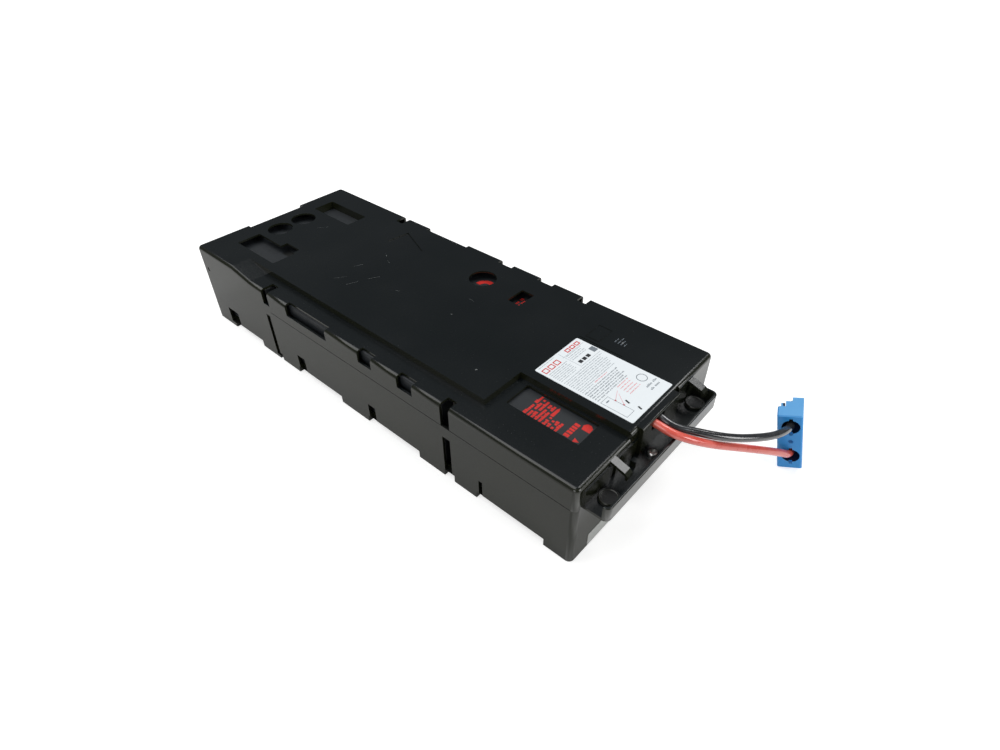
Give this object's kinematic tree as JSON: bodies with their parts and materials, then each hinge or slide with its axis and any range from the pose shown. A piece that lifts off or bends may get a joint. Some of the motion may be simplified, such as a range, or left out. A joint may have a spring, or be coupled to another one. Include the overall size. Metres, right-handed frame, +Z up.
{
  "type": "ups battery cartridge",
  "caption": "Slide-in battery cartridge for an uninterruptible power supply: black tray and windowed cover around sealed blocks, with leads to a blue power connector.",
  "frame": {"origin": "bottom centre of the cartridge, measured without the leads and the connector", "axes": "+X across the width, +Y from the end with the leads to the back, +Z up"},
  "size_m": [0.193, 0.4972, 0.0746],
  "materials": {
    "tray_plastic": "glossy black",
    "cover_plastic": "fine grain black",
    "block_plastic": "satin dark grey",
    "tinned_copper": "tinned",
    "red_insulation": "glossy",
    "black_insulation": "glossy",
    "connector_plastic": "satin blue",
    "rivet_plastic": "satin",
    "screw_steel": "zinc plated",
    "foam": "open foam",
    "label_paper": "coated white",
    "sticker_paper": "coated grey"
  },
  "bodies": {
    "root": {"bottom_tray": "tray_plastic", "top_cover": "cover_plastic", "battery_block_1": "block_plastic", "battery_block_2": "block_plastic", "battery_block_3": "block_plastic", "battery_block_4": "block_plastic", "link_strap_1": "tinned_copper", "link_strap_2": "tinned_copper", "link_strap_3": "tinned_copper", "positive_lug": "tinned_copper", "negative_lug": "tinned_copper", "positive_contact": "tinned_copper", "negative_contact": "tinned_copper", "red_lead": "red_insulation", "black_lead": "black_insulation", "connector_housing": "connector_plastic", "trough_rivets": "rivet_plastic", "trough_screw": "screw_steel", "rear_pad": "foam", "top_pad_1": "foam", "top_pad_2": "foam", "top_pad_3": "foam", "top_pad_4": "foam", "top_label": "label_paper", "front_sticker": "sticker_paper"}
  },
  "joints": []
}
